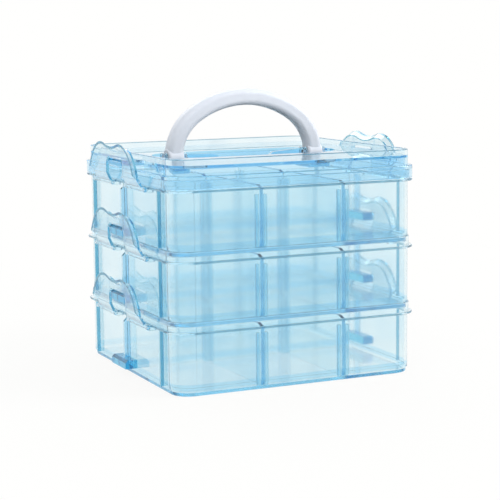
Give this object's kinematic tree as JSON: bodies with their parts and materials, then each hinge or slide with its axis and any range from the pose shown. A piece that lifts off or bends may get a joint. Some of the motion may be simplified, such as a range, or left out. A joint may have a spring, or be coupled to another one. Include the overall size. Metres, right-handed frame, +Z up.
{
  "type": "craft storage box",
  "caption": "Clear stackable craft storage box: divided trays tied by side latches under a lid with a fold-down carrying handle.",
  "frame": {"origin": "bottom centre of the bounding box, on the surface that the box stands on", "axes": "+X to the right along the front, +Y to the back, +Z up; the latches are on the -X and +X sides"},
  "size_m": [0.1696, 0.1514, 0.1649],
  "materials": {
    "clear_blue_tray": "clear",
    "clear_blue_lid": "clear",
    "clear_blue_latch": "clear",
    "clear_blue_divider": "clear",
    "white_handle": "gloss"
  },
  "bodies": {
    "bottom_tray": {"tray_bottom": "clear_blue_tray"},
    "middle_tray": {"tray_middle": "clear_blue_tray"},
    "top_tray": {"tray_top": "clear_blue_tray"},
    "lid": {"lid": "clear_blue_lid"},
    "handle": {"handle": "white_handle"},
    "latch_bottom_right": {"latch_bottom_right": "clear_blue_latch"},
    "latch_bottom_left": {"latch_bottom_left": "clear_blue_latch"},
    "latch_middle_right": {"latch_middle_right": "clear_blue_latch"},
    "latch_middle_left": {"latch_middle_left": "clear_blue_latch"},
    "latch_top_right": {"latch_top_right": "clear_blue_latch"},
    "latch_top_left": {"latch_top_left": "clear_blue_latch"},
    "divider_bottom_front_right": {"divider_bottom_front_right": "clear_blue_divider"},
    "divider_bottom_front_left": {"divider_bottom_front_left": "clear_blue_divider"},
    "divider_bottom_back_right": {"divider_bottom_back_right": "clear_blue_divider"},
    "divider_bottom_back_left": {"divider_bottom_back_left": "clear_blue_divider"},
    "divider_middle_front_right": {"divider_middle_front_right": "clear_blue_divider"},
    "divider_middle_front_left": {"divider_middle_front_left": "clear_blue_divider"},
    "divider_middle_back_right": {"divider_middle_back_right": "clear_blue_divider"},
    "divider_middle_back_left": {"divider_middle_back_left": "clear_blue_divider"},
    "divider_top_front_right": {"divider_top_front_right": "clear_blue_divider"},
    "divider_top_front_left": {"divider_top_front_left": "clear_blue_divider"},
    "divider_top_back_right": {"divider_top_back_right": "clear_blue_divider"},
    "divider_top_back_left": {"divider_top_back_left": "clear_blue_divider"}
  },
  "joints": [
    {"name": "lift_middle_tray", "type": "slide", "parent": "bottom_tray", "child": "middle_tray", "axis": [0, 0, 1], "range_m": [0, 0.035]},
    {"name": "lift_top_tray", "type": "slide", "parent": "middle_tray", "child": "top_tray", "axis": [0, 0, 1], "range_m": [0, 0.035]},
    {"name": "lift_lid", "type": "slide", "parent": "top_tray", "child": "lid", "axis": [0, 0, 1], "range_m": [0, 0.035]},
    {"name": "handle_fold", "type": "hinge", "parent": "lid", "child": "handle", "pos_m": [0, 0, 0.1252], "axis": [1, 0, 0], "range_deg": [-70, 70]},
    {"name": "latch_bottom_right_hinge", "type": "hinge", "parent": "bottom_tray", "child": "latch_bottom_right", "pos_m": [0.0791, 0, 0.0346], "axis": [0, 1, 0], "range_deg": [0, 140]},
    {"name": "latch_bottom_left_hinge", "type": "hinge", "parent": "bottom_tray", "child": "latch_bottom_left", "pos_m": [-0.0791, 0, 0.0346], "axis": [0, -1, 0], "range_deg": [0, 140]},
    {"name": "latch_middle_right_hinge", "type": "hinge", "parent": "middle_tray", "child": "latch_middle_right", "pos_m": [0.0791, 0, 0.07335], "axis": [0, 1, 0], "range_deg": [0, 140]},
    {"name": "latch_middle_left_hinge", "type": "hinge", "parent": "middle_tray", "child": "latch_middle_left", "pos_m": [-0.0791, 0, 0.07335], "axis": [0, -1, 0], "range_deg": [0, 140]},
    {"name": "latch_top_right_hinge", "type": "hinge", "parent": "top_tray", "child": "latch_top_right", "pos_m": [0.0791, 0, 0.1121], "axis": [0, 1, 0], "range_deg": [0, 140]},
    {"name": "latch_top_left_hinge", "type": "hinge", "parent": "top_tray", "child": "latch_top_left", "pos_m": [-0.0791, 0, 0.1121], "axis": [0, -1, 0], "range_deg": [0, 140]},
    {"name": "divider_bottom_front_right_lift", "type": "slide", "parent": "bottom_tray", "child": "divider_bottom_front_right", "axis": [0, 0, 1], "range_m": [0, 0.033]},
    {"name": "divider_bottom_front_left_lift", "type": "slide", "parent": "bottom_tray", "child": "divider_bottom_front_left", "axis": [0, 0, 1], "range_m": [0, 0.033]},
    {"name": "divider_bottom_back_right_lift", "type": "slide", "parent": "bottom_tray", "child": "divider_bottom_back_right", "axis": [0, 0, 1], "range_m": [0, 0.033]},
    {"name": "divider_bottom_back_left_lift", "type": "slide", "parent": "bottom_tray", "child": "divider_bottom_back_left", "axis": [0, 0, 1], "range_m": [0, 0.033]},
    {"name": "divider_middle_front_right_lift", "type": "slide", "parent": "middle_tray", "child": "divider_middle_front_right", "axis": [0, 0, 1], "range_m": [0, 0.033]},
    {"name": "divider_middle_front_left_lift", "type": "slide", "parent": "middle_tray", "child": "divider_middle_front_left", "axis": [0, 0, 1], "range_m": [0, 0.033]},
    {"name": "divider_middle_back_right_lift", "type": "slide", "parent": "middle_tray", "child": "divider_middle_back_right", "axis": [0, 0, 1], "range_m": [0, 0.033]},
    {"name": "divider_middle_back_left_lift", "type": "slide", "parent": "middle_tray", "child": "divider_middle_back_left", "axis": [0, 0, 1], "range_m": [0, 0.033]},
    {"name": "divider_top_front_right_lift", "type": "slide", "parent": "top_tray", "child": "divider_top_front_right", "axis": [0, 0, 1], "range_m": [0, 0.033]},
    {"name": "divider_top_front_left_lift", "type": "slide", "parent": "top_tray", "child": "divider_top_front_left", "axis": [0, 0, 1], "range_m": [0, 0.033]},
    {"name": "divider_top_back_right_lift", "type": "slide", "parent": "top_tray", "child": "divider_top_back_right", "axis": [0, 0, 1], "range_m": [0, 0.033]},
    {"name": "divider_top_back_left_lift", "type": "slide", "parent": "top_tray", "child": "divider_top_back_left", "axis": [0, 0, 1], "range_m": [0, 0.033]}
  ],
  "couplings": [
    {"joint": "latch_bottom_right_hinge", "follows": "lift_middle_tray", "rad_per_m": 69.8},
    {"joint": "latch_bottom_left_hinge", "follows": "lift_middle_tray", "rad_per_m": 69.8},
    {"joint": "latch_middle_right_hinge", "follows": "lift_top_tray", "rad_per_m": 69.8},
    {"joint": "latch_middle_left_hinge", "follows": "lift_top_tray", "rad_per_m": 69.8},
    {"joint": "latch_top_right_hinge", "follows": "lift_lid", "rad_per_m": 69.8},
    {"joint": "latch_top_left_hinge", "follows": "lift_lid", "rad_per_m": 69.8},
    {"joint": "divider_bottom_front_right_lift", "follows": "lift_middle_tray", "ratio": 0.94},
    {"joint": "divider_bottom_front_left_lift", "follows": "lift_middle_tray", "ratio": 0.94},
    {"joint": "divider_bottom_back_right_lift", "follows": "lift_middle_tray", "ratio": 0.94},
    {"joint": "divider_bottom_back_left_lift", "follows": "lift_middle_tray", "ratio": 0.94},
    {"joint": "divider_middle_front_right_lift", "follows": "lift_top_tray", "ratio": 0.94},
    {"joint": "divider_middle_front_left_lift", "follows": "lift_top_tray", "ratio": 0.94},
    {"joint": "divider_middle_back_right_lift", "follows": "lift_top_tray", "ratio": 0.94},
    {"joint": "divider_middle_back_left_lift", "follows": "lift_top_tray", "ratio": 0.94},
    {"joint": "divider_top_front_right_lift", "follows": "lift_lid", "ratio": 0.94},
    {"joint": "divider_top_front_left_lift", "follows": "lift_lid", "ratio": 0.94},
    {"joint": "divider_top_back_right_lift", "follows": "lift_lid", "ratio": 0.94},
    {"joint": "divider_top_back_left_lift", "follows": "lift_lid", "ratio": 0.94}
  ]
}
